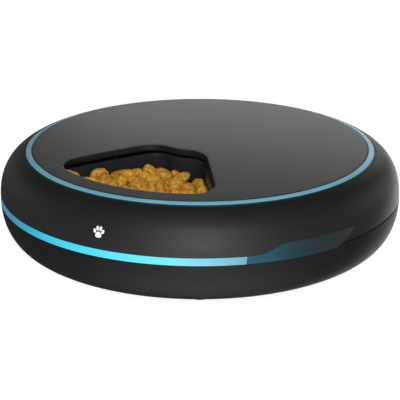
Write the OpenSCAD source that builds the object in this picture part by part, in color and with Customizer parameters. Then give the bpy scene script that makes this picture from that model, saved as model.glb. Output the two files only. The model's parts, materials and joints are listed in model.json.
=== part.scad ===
// Automatic pet feeder: a round casing, a lift-off domed lid with one opening, and a tray of five
// compartments that a gear motor turns step by step. Millimetres, +Z up, front towards -Y,
// origin on the floor under the middle of the casing.

/* [Casing] */
// Outside diameter of the casing
body_d = 320; // [316:1:324]
// Height of the casing's widest line above the floor
equator_z = 41; // [41:0.5:42]
// Drop from the widest line to the flat underside
lower_drop = 36; // [35.5:0.1:36]
// Width of the rounded edge of the lower casing
lower_round = 26.5; // [26:0.5:28]
// Fullness of the lower edge, 2 is an ellipse
lower_power = 2.16; // [2.1:0.01:2.3]
// Height of the upper casing's curve above the widest line
upper_rise = 38.6; // [38.4:0.1:39]
// Width of the rounded edge of the upper casing
upper_round = 39.2; // [39:0.1:40]
// Fullness of the upper edge, 2 is an ellipse
upper_power = 2.475; // [2.45:0.005:2.55]
// Wall thickness of both casing halves
wall = 2.6; // [2.4:0.1:2.8]

/* [Lid] */
// Radius of the lid
lid_r = 133.8; // [133.6:0.1:133.9]
// Height of the lid's top edge above the floor
lid_edge_z = 78.6; // [78.5:0.1:78.8]
// Rise of the dome from its edge to its middle
lid_dome = 6; // [5:0.5:7]
// Thickness of the lid
lid_wall = 2.4; // [2:0.1:2.4]
// Depth of the lip round the opening
lip_depth = 5; // [4:0.5:5]
// Direction of the middle of the opening
opening_az = -119.8; // [-125:0.1:-115]
// Half the angle between the sides of the opening
opening_half = 35.8; // [34:0.1:36]
// Outer radius of the opening
opening_r = 120.7; // [118:0.1:122]
// Radius of the rounded inner end of the opening
opening_hub_r = 35; // [34:0.1:37]

/* [Trim] */
// Outer radius of the ring round the lid
trim_r = 139.9; // [139.5:0.1:140]
// Inner radius of the ring round the lid
trim_inner_r = 134.3; // [134.2:0.1:134.5]
// Bottom of the light band, measured from the widest line
band_low = -1.1; // [-1.3:0.1:-0.9]
// Top of the light band, measured from the widest line
band_high = 4.6; // [4.4:0.1:4.8]
// Direction where the light band meets the display window
band_front_az = -78; // [-79:0.5:-77]
// Direction where the light band ends at the back
band_back_az = 97; // [94:0.5:110]
// Direction of the middle of the display window
window_az = -61.5; // [-62:0.1:-61]
// Top edge of the display window, measured from the widest line
window_high = 11.3; // [10.8:0.1:11.5]

/* [Tray] */
// Number of compartments
tray_count = 5; // [5:1:5]
// Outer radius of the tray's wall
tray_r = 128.6; // [128:0.1:128.8]
// Height of the tray's underside
tray_z = 37; // [37:0.1:37.2]
// Thickness of the tray's floor and outer wall
tray_wall = 2.1; // [1.8:0.1:2.4]
// Thickness of the walls between compartments
divider = 3; // [2.4:0.1:3.4]
// Radius of the inner end of a compartment
pocket_hub_r = 33.4; // [33:0.1:35]

/* [Drive] */
// Gear module
gear_m = 1.25; // [1.25:0.01:1.25]
// Pressure angle of the gear teeth
gear_angle = 25; // [24:0.5:25]
// Play between meshing teeth, measured along the pitch circle
gear_play = 0.16; // [0.12:0.01:0.2]
// Teeth of the gear under the tray
output_teeth = 60; // [60:1:60]
// Teeth of the small wheel of the idler
idler_small_teeth = 15; // [15:1:15]
// Teeth of the large wheel of the idler
idler_large_teeth = 40; // [40:1:40]
// Teeth of the motor pinion
pinion_teeth = 12; // [12:1:12]
// Direction of the idler from the axis
idler_az = 190; // [185:1:195]
// Direction of the motor shaft from the idler
motor_az = 215; // [210:1:220]

/* [Battery] */
// Number of cells
cell_count = 4; // [4:1:4]
// Radius of a cell
cell_r = 7.1; // [6.9:0.1:7.2]
// Length of a cell without its button
cell_len = 49.2; // [48.8:0.1:49.4]

/* [Hidden] */
$fn = 96;
DOME_FN = 360;
RING_FN = 360;
SMALL_FN = 32;

// Casing
body_r = body_d / 2;
lower_mid = body_r - lower_round;
upper_mid = body_r - upper_round;
floor_z = equator_z - lower_drop;
floor_top = floor_z + wall;
curve_steps = 22;
band_z0 = equator_z + band_low;
band_z1 = equator_z + band_high;
tongue_r0 = body_r - 6.6;
tongue_r1 = body_r - 4.4;
tongue_top = equator_z + 9;
rim_r = tongue_r1 + 0.2;
seam_low = equator_z + 1;
seam_high = equator_z + 1.4;
seam_bevel = 0.5;
seam_az = window_az + 5.5;
well_r = 130.6;
well_wall = 2.2;
ledge_z = lid_edge_z - lid_wall - 0.15;
seat_z = lid_edge_z - 4.4;
shoulder_z = seat_z - 2.4;
trim_gap = 0.4;

// Deck under the tray
deck_top = tray_z - 2;
deck_t = 2.4;
deck_z = deck_top - deck_t;

// Lid
dome_r = (trim_inner_r * trim_inner_r + lid_dome * lid_dome) / (2 * lid_dome);
dome_top = lid_edge_z + lid_dome;
lip_t = 2;
skirt_r = well_r - 0.4;
skirt_z = lid_edge_z - 4.7;
opening_round_in = 22;
opening_round_out = 16;

// Tray
tray_drop = lip_depth + 2.4;
flange_z = skirt_z - 4.6;
fit = 0.05;
pocket_r = tray_r - tray_wall;
pocket_round_in = 12;
pocket_round_out = 8;
pocket_pitch = 360 / tray_count;
socket_r = 16.4;
socket_top = tray_z + 15;
flange_r = well_r - 0.8;
core_hollow_r = 28;
grip_r = 20;
grip_z = tray_z + 26;
grip_bar = 8;

// Feet and screws
foot_count = 4;
foot_at = 121;
foot_r = 9;
foot_recess = 1.2;
casing_screw_count = 6;
casing_screw_at = 137.5;
casing_boss_top = 30;
casing_boss_r = 5.2;
casing_post_r = 3.8;
deck_r = casing_screw_at - casing_post_r - 0.4;
counterbore_z = 14;
deck_screw_count = 5;
deck_screw_at = 112;
deck_screw_az = 18;
screw_r = 1.45;
pilot_r = 1.5;
through_r = 1.75;

// Drive
idler_at = gear_m * (output_teeth + idler_small_teeth) / 2;
idler_pos = [idler_at * cos(idler_az), idler_at * sin(idler_az)];
motor_at = gear_m * (idler_large_teeth + pinion_teeth) / 2;
motor_pos = idler_pos + motor_at * [cos(motor_az), sin(motor_az)];
can_offset = 8;
can_pos = motor_pos + can_offset * [cos(motor_az), sin(motor_az)];
can_r = 14;
can_z = floor_top + 8;
can_h = 15.8;
ear_at = 17.5;
ear_positions = [for (s = [-1, 1]) can_pos + s * ear_at * [-sin(motor_az), cos(motor_az)]];
low_gear_z = 10;
low_gear_h = 4;
high_gear_z = 16;
high_gear_h = 6;
spindle_r = 3;
axle_r = 2;
shaft_r = 2.5;
run = 0.05;
hex_r = 8;
hub_r = 11;
disc_z = high_gear_z + high_gear_h + 2.4;
disc_t = 1;
disc_r = 33.5;
hub_z = disc_z + disc_t + 0.05;
hub_flange_z = deck_top + 0.7;
hub_flange_r = 45;
hub_post_r = 16;
hub_post_top = tray_z + 13;
hub_web_z = hub_z + 6;
bush_r = 13.4;

// Battery bay
cell_pitch = 15;
bay_x = cell_count * cell_pitch / 2 + 1.3;
bay_y0 = 45;
bay_y1 = 102.6;
bay_wall = 1.6;
bay_top = floor_top + 15.4;
cell_z = floor_top + 0.4 + cell_r;
plate_t = 0.5;
spring_len = bay_y1 - bay_y0 - 2 * plate_t - cell_len - 1 - 0.4;
hinge_y = 102.3;
hinge_z = floor_z + 1.3;
hinge_r = 1.25;
hinge_pin_r = 0.8;
hinge_x = 20;
door_t = 2.2;
door_gap = 0.4;

// Electronics
board_x0 = 50;
board_x1 = 112;
board_y0 = -44;
board_y1 = 24;
board_z = 13;
board_t = 1.6;
board_holes = [for (x = [board_x0 + 4, board_x1 - 4], y = [board_y0 + 4, board_y1 - 4]) [x, y]];
sounder_pos = [-28, -84];
sounder_r = 12;
jack_z = 27;
jack_face = 151;
jack_r = 3.9;
switch_pos = [56, 74];
switch_travel = 4;
window_plane = 148;
led_step = 6;

// ---------------------------------------------------------------- curves and helpers

// Parameter of a casing curve at a height h from the widest line
function curve_at_height(rise, power, h) = asin(pow(h / rise, power / 2));

// Parameter of a casing curve at a distance x from the middle of its rounded edge
function curve_at_width(round_w, power, x) = acos(pow(x / round_w, power / 2));

// Points of a casing curve, as [radius, height]
function casing_curve(mid, round_w, rise, power, side, t0, t1) =
    [for (i = [0:curve_steps]) let (t = t0 + (t1 - t0) * i / curve_steps)
        [mid + round_w * pow(cos(t), 2 / power), equator_z + side * rise * pow(sin(t), 2 / power)]];

function lower_curve(inset, h0, h1) =
    let (rise = lower_drop - inset, round_w = lower_round - inset)
    casing_curve(lower_mid, round_w, rise, lower_power, -1,
        curve_at_height(rise, lower_power, h0), curve_at_height(rise, lower_power, h1));

function upper_curve(inset, t0, t1) =
    casing_curve(upper_mid, upper_round - inset, upper_rise - inset, upper_power, 1, t0, t1);

function arc_points(c, r, a0, a1, n) =
    [for (i = [0:n]) let (a = a0 + (a1 - a0) * i / n) c + r * [cos(a), sin(a)]];

// Upper half of a rounded wedge that opens along +X between two arcs round the axis.
// Its side lines meet at x = apex and lie at +-half to the X axis.
function half_wedge(inner, outer, half, apex, round_in, round_out) =
    let (
        turn = half - asin((round_in + apex * sin(half)) / (inner + round_in)),
        c_in = (inner + round_in) * [cos(turn), sin(turn)],
        k = round_out + apex * sin(half),
        s = sqrt(pow(outer - round_out, 2) - k * k),
        c_out = [s * cos(half) + k * sin(half), s * sin(half) - k * cos(half)],
        a_out = atan2(c_out[1], c_out[0])
    )
    concat(
        arc_points([0, 0], inner, 0, turn, 4),
        [for (p = arc_points(c_in, round_in, 180 + turn, 90 + half, 7)) if (norm(p) > inner + 0.01) p],
        arc_points(c_out, round_out, 90 + half, a_out, 7),
        arc_points([0, 0], outer, a_out, 0, 8)
    );

function wedge(inner, outer, half, apex, round_in, round_out) =
    let (h = half_wedge(inner, outer, half, apex, round_in, round_out), n = len(h))
    concat(h, [for (i = [n - 2:-1:1]) [h[i][0], -h[i][1]]]);

module at_az(az) { rotate([0, 0, az]) children(); }

module ring_of(count, radius, first = 0) {
    for (i = [0:count - 1])
        at_az(first + i * 360 / count) translate([radius, 0, 0]) children();
}

// Extrudes an outline drawn as [sideways, height] outwards along a direction
module radial_prism(az, r0, r1) {
    at_az(az) translate([r0, 0, 0]) rotate([90, 0, 90]) linear_extrude(r1 - r0) children();
}

module ring_segment(az0, az1) {
    at_az(az0) rotate_extrude(angle = az1 - az0, $fn = RING_FN) children();
}

module tube(r_out, r_in, h) {
    difference() {
        cylinder(r = r_out, h = h);
        translate([0, 0, -1]) cylinder(r = r_in, h = h + 2);
    }
}

module dome(drop) {
    translate([0, 0, dome_top - dome_r]) sphere(r = dome_r - drop, $fn = DOME_FN);
}

module pan_screw(head_r, head_h, shank_r, shank) {
    cylinder(r = head_r, h = head_h, $fn = SMALL_FN);
    translate([0, 0, head_h - 0.1]) cylinder(r = shank_r, h = shank + 0.1, $fn = SMALL_FN);
}

module box_at(from, to) { translate(from) cube(to - from); }

// A round rod at [x, y] from height z0 to z1
module rod(at, r, z0, z1, fn = $fn) {
    translate([at[0], at[1], z0]) cylinder(r = r, h = z1 - z0, $fn = fn);
}

// ---------------------------------------------------------------- display window outline

function side_x(az) = body_r * sin(az - window_az);

// Outline of the window, grown by g: a straight base line, a curved tip on the right, a level
// top and an S-shaped shoulder that runs down to the height of the light band on the left
function window_outline(g) =
    let (
        top = equator_z + window_high + g,
        low = band_z0 + 0.05 - g,
        tail = band_z1 - 0.05 + g,
        tail_x = side_x(band_front_az) - g,
        tip = [side_x(window_az + 16.2) + g, top - 0.9],
        foot = [side_x(window_az + 9.5) + g, low],
        knee = [side_x(window_az + 11.9) + g, low + 0.8],
        shoulder0 = side_x(window_az - 5),
        shoulder1 = side_x(window_az - 14)
    )
    concat(
        [[tail_x - 0.8, low]],
        [for (t = [0:0.2:1]) (1 - t) * (1 - t) * foot + 2 * t * (1 - t) * knee + t * t * tip],
        [[side_x(window_az + 7.5), top]],
        [for (t = [0:0.1:1]) [shoulder0 + (shoulder1 - shoulder0) * t,
            tail + (top - tail) * (1 + cos(180 * t)) / 2]],
        [[tail_x, tail]]
    );

module window_cut(g) {
    radial_prism(window_az, body_r - 14, body_r + 6) polygon(window_outline(g));
}

// ---------------------------------------------------------------- casing

module base_profile() {
    rim = lower_curve(0, lower_drop, 0);
    inner = lower_curve(wall, 6, lower_drop - wall);
    polygon(concat(
        [[0, floor_z]], rim,
        [[body_r, seam_low - seam_bevel], [body_r - seam_bevel, seam_low], [tongue_r1, seam_low],
            [tongue_r1, tongue_top], [tongue_r0, tongue_top], [tongue_r0, equator_z - 2.2]],
        inner,
        [[0, floor_top]]
    ));
}

// Cuts the rim away where the light band and the display window take its place
module base_band_cut() {
    ring_segment(band_back_az, 360 + seam_az)
        polygon([[tongue_r1 - 0.1, band_z0], [body_r + 6, band_z0], [body_r + 6, seam_low + 1],
            [tongue_r1 - 0.1, seam_low + 1]]);
}

module casing_boss() {
    translate([0, 0, floor_top - 1]) cylinder(r = casing_boss_r, h = casing_boss_top - floor_top + 1);
}

module battery_bay_walls() {
    difference() {
        box_at([-bay_x - bay_wall, bay_y0 - bay_wall, floor_z + 1],
            [bay_x + bay_wall, bay_y1 + bay_wall, bay_top + bay_wall]);
        box_at([-bay_x, bay_y0, floor_top - 1], [bay_x, bay_y1, bay_top]);
    }
}

module jack_boss() {
    translate([0, jack_face - 2.6, jack_z]) rotate([-90, 0, 0]) cylinder(r = 7.6, h = 6.2);
}

module base_openings() {
    // Battery door, with a narrower tab between the hinge lugs
    box_at([-bay_x, bay_y0 - door_gap, floor_z - 1], [bay_x, hinge_y - 2.7, floor_top + 0.5]);
    box_at([-hinge_x - 0.4, bay_y0, floor_z - 1], [hinge_x + 0.4, hinge_y + 1.7, floor_top]);
    translate([-hinge_x - 3, hinge_y, hinge_z]) rotate([0, 90, 0])
        cylinder(r = hinge_pin_r + run, h = 2 * hinge_x + 6, $fn = SMALL_FN);
    // Feet, screws and sounder grille
    ring_of(foot_count, foot_at, -90)
        translate([0, 0, floor_z - 1]) cylinder(r = foot_r + 0.1, h = foot_recess + 1.05);
    ring_of(casing_screw_count, casing_screw_at) {
        cylinder(r = 3.5, h = counterbore_z);
        cylinder(r = through_r, h = casing_boss_top + 1, $fn = SMALL_FN);
    }
    translate([sounder_pos[0], sounder_pos[1], floor_z - 1]) {
        cylinder(r = 1.1, h = wall + 2, $fn = SMALL_FN);
        ring_of(6, 4) cylinder(r = 1.1, h = wall + 2, $fn = SMALL_FN);
        ring_of(12, 7.6) cylinder(r = 1.1, h = wall + 2, $fn = SMALL_FN);
    }
    // Power switch: a shallow dish and a slot
    translate([switch_pos[0], switch_pos[1], floor_z]) {
        box_at([-8, -4.5, -1], [8, 4.5, 0.8]);
        box_at([-4.3, -2.3, -1], [4.3, 2.3, wall + 1]);
    }
    // Power inlet: recess and hole
    translate([0, jack_face - 4, jack_z]) rotate([-90, 0, 0]) cylinder(r = jack_r + 0.1, h = 30);
    translate([0, jack_face, jack_z]) rotate([-90, 0, 0]) cylinder(r = 5.6, h = 30);
}

module base_posts() {
    for (p = board_holes) rod(p, 3, floor_top - 0.5, board_z);
    for (p = ear_positions) rod(p, 3.6, floor_top - 0.5, can_z);
    ring_of(deck_screw_count, deck_screw_at, deck_screw_az)
        translate([0, 0, floor_top - 0.5]) cylinder(r = 4.5, h = deck_z - floor_top + 0.5);
    rod([0, 0], 9, floor_top - 0.5, low_gear_z + low_gear_h);
    rod(idler_pos, 5, floor_top - 0.5, floor_top + 2.2);
    translate([sounder_pos[0], sounder_pos[1], floor_top - 0.5])
        tube(sounder_r + 2, sounder_r + 0.2, 3.5);
    for (s = [-1, 1]) at_az(window_az)
        box_at([window_plane - 4.5, s * 28 - 2, floor_z],
            [window_plane - 0.1, s * 28 + 2, equator_z + 12]);
}

// Everything inside the outer surface of the lower casing
module base_envelope() {
    rotate_extrude() polygon(concat([[0, floor_z + 0.5]], lower_curve(0.5, lower_drop - 0.5, 0),
        [[body_r - 0.5, equator_z + 20], [0, equator_z + 20]]));
}

module base_pilots() {
    for (p = board_holes) rod(p, pilot_r, floor_top, board_z + 1, SMALL_FN);
    for (p = ear_positions) rod(p, pilot_r, floor_top, can_z + 1, SMALL_FN);
    ring_of(deck_screw_count, deck_screw_at, deck_screw_az)
        translate([0, 0, deck_z - 15]) cylinder(r = pilot_r, h = 20, $fn = SMALL_FN);
    rod([0, 0], spindle_r + 0.02, floor_top + 0.8, equator_z);
    rod(idler_pos, axle_r + 0.02, floor_top + 0.4, equator_z);
}

module base_shell() {
    color("#2b2d30") difference() {
        union() {
            rotate_extrude() base_profile();
            ring_of(casing_screw_count, casing_screw_at) casing_boss();
            battery_bay_walls();
            intersection() {
                union() { jack_boss(); base_posts(); }
                base_envelope();
            }
        }
        base_band_cut();
        base_openings();
        base_pilots();
        window_cut(0.15);
    }
}

module upper_profile() {
    t_low = curve_at_height(upper_rise, upper_power, band_high);
    t_top = curve_at_width(upper_round, upper_power, trim_r + trim_gap - upper_mid);
    outer = upper_curve(0, t_low, t_top);
    in_rise = upper_rise - wall;
    inner = upper_curve(wall, curve_at_height(in_rise, upper_power, shoulder_z - equator_z),
        curve_at_height(in_rise, upper_power, tongue_top - equator_z));
    polygon(concat(
        outer,
        [[trim_r + trim_gap, seat_z], [trim_inner_r - 0.3, seat_z], [trim_inner_r - 0.3, ledge_z],
            [well_r, ledge_z], [well_r, deck_top + 0.05], [well_r + well_wall, deck_top + 0.05],
            [well_r + well_wall, shoulder_z]],
        inner,
        [[rim_r, tongue_top], [rim_r, seam_high], [body_r - seam_bevel, seam_high],
            [body_r - 0.01, seam_high + seam_bevel]]
    ));
}

// Cuts the skirt away where the light band and the display window take its place
module upper_band_cut() {
    ring_segment(band_back_az, 360 + seam_az)
        polygon([[rim_r - 1, equator_z - 1], [body_r + 6, equator_z - 1],
            [body_r + 6, band_z1], [rim_r - 1, band_z1]]);
}

module upper_bosses() {
    ring_of(casing_screw_count, casing_screw_at) {
        rod([0, 0], casing_post_r, casing_boss_top + 0.1, shoulder_z + 0.6);
        box_at([-casing_screw_at + well_r + 1, -0.9, deck_top + 2], [-3, 0.9, shoulder_z + 0.5]);
    }
}

module upper_shell() {
    color("#35383c") difference() {
        union() {
            rotate_extrude() upper_profile();
            upper_bosses();
        }
        upper_band_cut();
        ring_of(casing_screw_count, casing_screw_at)
            translate([0, 0, casing_boss_top]) cylinder(r = pilot_r, h = 16, $fn = SMALL_FN);
        window_cut(0.15);
    }
}

module well_deck() {
    color("#3a3d40") difference() {
        union() {
            translate([0, 0, deck_z]) cylinder(r = deck_r, h = deck_t);
            translate([0, 0, deck_top - 0.5]) tube(well_r - 0.4, well_r - 2.2, 1.9);
            translate([idler_pos[0], idler_pos[1], high_gear_z + high_gear_h + 2])
                cylinder(r = 4, h = deck_z - high_gear_z - high_gear_h - 1.5);
            ring_of(deck_screw_count, 0, deck_screw_az)
                box_at([bush_r + 2, -1, deck_z - 3], [deck_screw_at - 7, 1, deck_z + 0.5]);
            translate([0, 0, deck_z - 2]) cylinder(r = bush_r + 3, h = 3);
        }
        translate([0, 0, deck_z - 3]) cylinder(r = bush_r + 0.02, h = 8);
        translate([idler_pos[0], idler_pos[1], 0]) cylinder(r = axle_r + 0.02, h = deck_z - 2);
        ring_of(deck_screw_count, deck_screw_at, deck_screw_az) {
            translate([0, 0, deck_z - 1]) cylinder(r = through_r, h = 5, $fn = SMALL_FN);
            translate([0, 0, deck_top - 1.9]) cylinder(r1 = 1.5, r2 = 3.4, h = 1.9, $fn = SMALL_FN);
            translate([0, 0, deck_top - 0.01]) cylinder(r = 3.4, h = 1, $fn = SMALL_FN);
        }
    }
}

module side_light_band() {
    t_low = curve_at_height(upper_rise, upper_power, band_high);
    r_top = upper_curve(0, t_low, t_low)[0][0];
    r_low = lower_curve(0, -band_low, -band_low)[0][0];
    color("#46d3f5") difference() {
        ring_segment(band_back_az + 0.1, 360 + band_front_az + 0.4)
            polygon([[body_r - 2.8, band_z0 + 0.05], [r_low, band_z0 + 0.05], [body_r, equator_z],
                [body_r - 0.01, equator_z + 2], [r_top, band_z1 - 0.05], [body_r - 2.8, band_z1 - 0.05]]);
        window_cut(0.1);
    }
}

module display_window() {
    color("#2f4a52") intersection() {
        window_cut(0);
        rotate_extrude() polygon(concat(
            lower_curve(0, 4, 0), upper_curve(0, 0.5, 50),
            [[upper_curve(0, 50, 50)[0][0] - 3.6, equator_z + 25], [body_r - 4, equator_z + 12],
                [body_r - 4, equator_z - 4]]
        ));
    }
}

module trim_ring() {
    t0 = curve_at_width(upper_round, upper_power, trim_r - upper_mid);
    t1 = curve_at_width(upper_round, upper_power, trim_inner_r - upper_mid);
    color("#7fb4cc") rotate_extrude()
        polygon(concat([[trim_inner_r, seat_z + 0.05], [trim_r, seat_z + 0.05]], upper_curve(0, t0, t1)));
}

module rubber_feet() {
    color("#1d1d1f") ring_of(foot_count, foot_at, -90) rotate_extrude()
        polygon([[0, 0], [foot_r - 1.4, 0], [foot_r - 0.4, 0.4], [foot_r, 1.4],
            [foot_r, floor_z + foot_recess], [0, floor_z + foot_recess]]);
}

module casing_screws() {
    color("silver") ring_of(casing_screw_count, casing_screw_at)
        translate([0, 0, counterbore_z - 2.3]) pan_screw(2.9, 2.3, screw_r, 28);
}

module deck_screws() {
    color("silver") ring_of(deck_screw_count, deck_screw_at, deck_screw_az) {
        translate([0, 0, deck_top - 1.85]) cylinder(r1 = 1.45, r2 = 3.3, h = 1.85, $fn = SMALL_FN);
        translate([0, 0, deck_top - 14]) cylinder(r = screw_r, h = 12.5, $fn = SMALL_FN);
    }
}

// ---------------------------------------------------------------- lid and tray

module opening_prism(g, z0, z1) {
    at_az(opening_az) translate([0, 0, z0]) linear_extrude(z1 - z0)
        polygon(wedge(opening_hub_r - g, opening_r + g, opening_half, -g / sin(opening_half),
            opening_round_in + g, opening_round_out + g));
}

module lid() {
    color("#4a4d50") difference() {
        union() {
            intersection() {
                translate([0, 0, ledge_z - 5]) cylinder(r = lid_r, h = 30, $fn = 180);
                difference() { dome(0); dome(lid_wall); }
            }
            intersection() {
                opening_prism(lip_t, skirt_z - 4, dome_top + 2);
                difference() { dome(0.5); dome(lip_depth); }
            }
            translate([0, 0, skirt_z]) tube(skirt_r, skirt_r - 1.8, ledge_z + 0.6 - skirt_z);
        }
        opening_prism(0, skirt_z - 6, dome_top + 4);
    }
}

// Space inside the bowl, drawn in by g: a flat floor, a curved foot and an upright wall
module bowl_space(g) {
    z = tray_z + tray_wall + g;
    rotate_extrude() polygon([[0, z], [pocket_r - 9, z], [pocket_r - 4 - g, z + 1.4],
        [pocket_r - 1.2 - g, z + 4], [pocket_r - g, z + 8], [pocket_r - g, dome_top + 4],
        [0, dome_top + 4]]);
}

module drive_socket(z1) {
    translate([0, 0, tray_z - 1]) cylinder(r = socket_r, h = z1 - tray_z + 1, $fn = 6);
}

module tray_bowl() {
    color("#3d4650") difference() {
        intersection() {
            rotate_extrude() polygon([[0, tray_z], [tray_r - 9, tray_z], [tray_r - 3.6, tray_z + 1.6],
                [tray_r - 0.9, tray_z + 4.6], [tray_r, tray_z + 9], [tray_r, flange_z - 0.8],
                [flange_r, flange_z], [flange_r, dome_top], [0, dome_top]]);
            dome(tray_drop);
        }
        bowl_space(0);
        drive_socket(tray_z + tray_wall + 1);
    }
}

// Outline of one compartment, extruded through the divider insert
module compartment() {
    translate([0, 0, tray_z]) linear_extrude(dome_top - tray_z)
        polygon(wedge(pocket_hub_r, pocket_r + 2, pocket_pitch / 2,
            divider / 2 / sin(pocket_pitch / 2), pocket_round_in, pocket_round_out));
}

// Space under the middle of the insert, round the drive socket
module core_hollow() {
    difference() {
        rod([0, 0], core_hollow_r, tray_z - 1, dome_top - tray_drop - 4.5);
        translate([0, 0, tray_z - 2]) cylinder(r = socket_r + 3.1, h = socket_top + 12 - tray_z);
        translate([0, 0, tray_z + 20]) cylinder(r = grip_r + 4, h = 40);
    }
}

// Two finger wells in the top, with a bar between them to lift the tray by
module grip_wells() {
    difference() {
        translate([0, 0, grip_z]) cylinder(r = grip_r, h = 30);
        box_at([-grip_r - 1, -grip_bar / 2, tray_z], [grip_r + 1, grip_bar / 2, dome_top]);
    }
}

module divider_insert() {
    color("#3d4650") difference() {
        intersection() {
            bowl_space(fit);
            dome(tray_drop);
        }
        for (i = [0:tray_count - 1]) at_az(opening_az + i * pocket_pitch) compartment();
        core_hollow();
        grip_wells();
        drive_socket(socket_top);
    }
}

// ---------------------------------------------------------------- drive

function involute(a) = tan(a) - a * PI / 180;

// Outline of a spur gear with a tooth centred on the direction phase
function gear_outline(teeth, phase) =
    let (
        pitch_r = gear_m * teeth / 2,
        base_r = pitch_r * cos(gear_angle),
        root_r = pitch_r - 1.08 * gear_m,
        tip_r = pitch_r + 0.8 * gear_m,
        start_r = max(base_r, root_r),
        half = 90 / teeth - gear_play / 4 / pitch_r * 180 / PI,
        radii = [root_r, start_r, (start_r + tip_r) / 2, tip_r],
        turn = [for (r = radii) let (a = acos(min(1, base_r / max(r, base_r))))
            half + (involute(gear_angle) - involute(a)) * 180 / PI]
    )
    [for (i = [0:teeth - 1], k = [0:7])
        let (j = k < 4 ? k : 7 - k, s = k < 4 ? -1 : 1, a = phase + i * 360 / teeth + s * turn[j])
        radii[j] * [cos(a), sin(a)]];

// Phase of a gear with n2 teeth in mesh with a gear of n1 teeth whose phase is phase1, where az is
// the direction from the first gear to the second
function mesh_phase(n1, phase1, n2, az) =
    let (f = (az - phase1) * n1 / 360) az + 180 + (f - floor(f) - 0.5) * 360 / n2;

idler_small_phase = mesh_phase(output_teeth, 0, idler_small_teeth, idler_az);
pinion_phase = mesh_phase(idler_large_teeth, 0, pinion_teeth, motor_az);

module gear(teeth, phase, h) {
    linear_extrude(h) polygon(gear_outline(teeth, phase));
}

module output_gear() {
    color("#d9d4c4") difference() {
        union() {
            translate([0, 0, high_gear_z]) gear(output_teeth, 0, high_gear_h);
            translate([0, 0, low_gear_z + low_gear_h + 0.2])
                cylinder(r = 10, h = disc_z - low_gear_z - low_gear_h - 0.2);
            translate([0, 0, disc_z - 0.5]) cylinder(r = hex_r, h = hub_web_z - disc_z + 0.3, $fn = 6);
        }
        translate([0, 0, low_gear_z]) cylinder(r = spindle_r + run, h = disc_z - low_gear_z - 0.2);
        translate([0, 0, disc_z + 0.8]) cylinder(r = 1.3, h = 10, $fn = SMALL_FN);
        ring_of(6, 23) translate([0, 0, high_gear_z - 1]) cylinder(r = 6.5, h = high_gear_h + 2);
    }
}

module index_disc() {
    color("#202226") difference() {
        translate([0, 0, disc_z]) cylinder(r = disc_r, h = disc_t);
        translate([0, 0, disc_z - 1]) cylinder(r = hex_r + 0.05, h = 3, $fn = 6);
        ring_of(tray_count, disc_r, 45) box_at([-4, -1.5, disc_z - 1], [2, 1.5, disc_z + 2]);
    }
}

module drive_hub() {
    color("#d9d4c4") difference() {
        union() {
            translate([0, 0, hub_z]) cylinder(r = hub_r, h = hub_flange_z - hub_z + 0.5);
            translate([0, 0, hub_flange_z]) cylinder(r = hub_flange_r, h = tray_z - hub_flange_z - 0.05);
            rod([0, 0], hub_post_r, hub_flange_z, hub_post_top, 6);
        }
        translate([0, 0, hub_z - 1]) cylinder(r = hex_r + 0.06, h = hub_web_z - hub_z + 1, $fn = 6);
        translate([0, 0, hub_z]) cylinder(r = through_r, h = 20, $fn = SMALL_FN);
        translate([0, 0, hub_web_z + 2.5]) cylinder(r = 9, h = 30);
        ring_of(tray_count, 34) translate([0, 0, hub_flange_z - 1]) cylinder(r = 6, h = 4);
    }
}

module hub_screw() {
    color("silver") translate([0, 0, hub_web_z + 4.8]) mirror([0, 0, 1]) pan_screw(3.2, 2.3, 1.25, 7);
}

module hub_bush() {
    color("#b08d57") difference() {
        union() {
            translate([0, 0, deck_z - 2]) cylinder(r = bush_r, h = deck_t + 2);
            translate([0, 0, deck_top]) cylinder(r = bush_r + 2.6, h = 0.55);
        }
        translate([0, 0, deck_z - 3]) cylinder(r = hub_r + run, h = 10);
    }
}

module spindle() {
    color("silver") rod([0, 0], spindle_r, floor_top + 0.8, disc_z - 0.4);
}

module idler_axle() {
    color("silver") rod(idler_pos, axle_r, floor_top + 0.4, deck_z - 2.2);
}

module idler_gear() {
    color("#e4dfd0") translate([idler_pos[0], idler_pos[1], 0]) difference() {
        union() {
            translate([0, 0, low_gear_z]) gear(idler_large_teeth, 0, low_gear_h);
            translate([0, 0, low_gear_z]) cylinder(r = 7, h = high_gear_z - low_gear_z);
            translate([0, 0, high_gear_z]) gear(idler_small_teeth, idler_small_phase, high_gear_h);
            translate([0, 0, high_gear_z]) cylinder(r = 5.5, h = high_gear_h + 1.2);
        }
        translate([0, 0, low_gear_z - 1]) cylinder(r = axle_r + run, h = 20);
        ring_of(5, 15) translate([0, 0, low_gear_z - 1]) cylinder(r = 4.5, h = low_gear_h + 2);
    }
}

module motor_pinion() {
    color("#c9b27c") translate([motor_pos[0], motor_pos[1], low_gear_z]) difference() {
        gear(pinion_teeth, pinion_phase, low_gear_h);
        translate([0, 0, -1]) cylinder(r = shaft_r + 0.02, h = low_gear_h + 2);
    }
}

module motor_shaft() {
    color("silver") rod(motor_pos, shaft_r, low_gear_z - 0.2, low_gear_z + 8.8);
}

module gear_motor() {
    color("#b9bdc1") difference() {
        union() {
            translate([can_pos[0], can_pos[1], can_z]) cylinder(r = can_r, h = can_h);
            translate([can_pos[0], can_pos[1], can_z]) at_az(motor_az) {
                difference() {
                    box_at([-3.5, -ear_at - 3.5, 0], [3.5, ear_at + 3.5, 0.8]);
                    for (s = [-1, 1]) translate([0, s * ear_at, -1])
                        cylinder(r = through_r, h = 3, $fn = SMALL_FN);
                }
                box_at([10, -7.3, 1], [17, 7.3, can_h - 0.8]);
            }
            translate([motor_pos[0], motor_pos[1], can_z - 1.4]) cylinder(r = 4.5, h = 2);
        }
        translate([motor_pos[0], motor_pos[1], can_z - 2]) cylinder(r = shaft_r + run, h = 5.6);
    }
}

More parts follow.
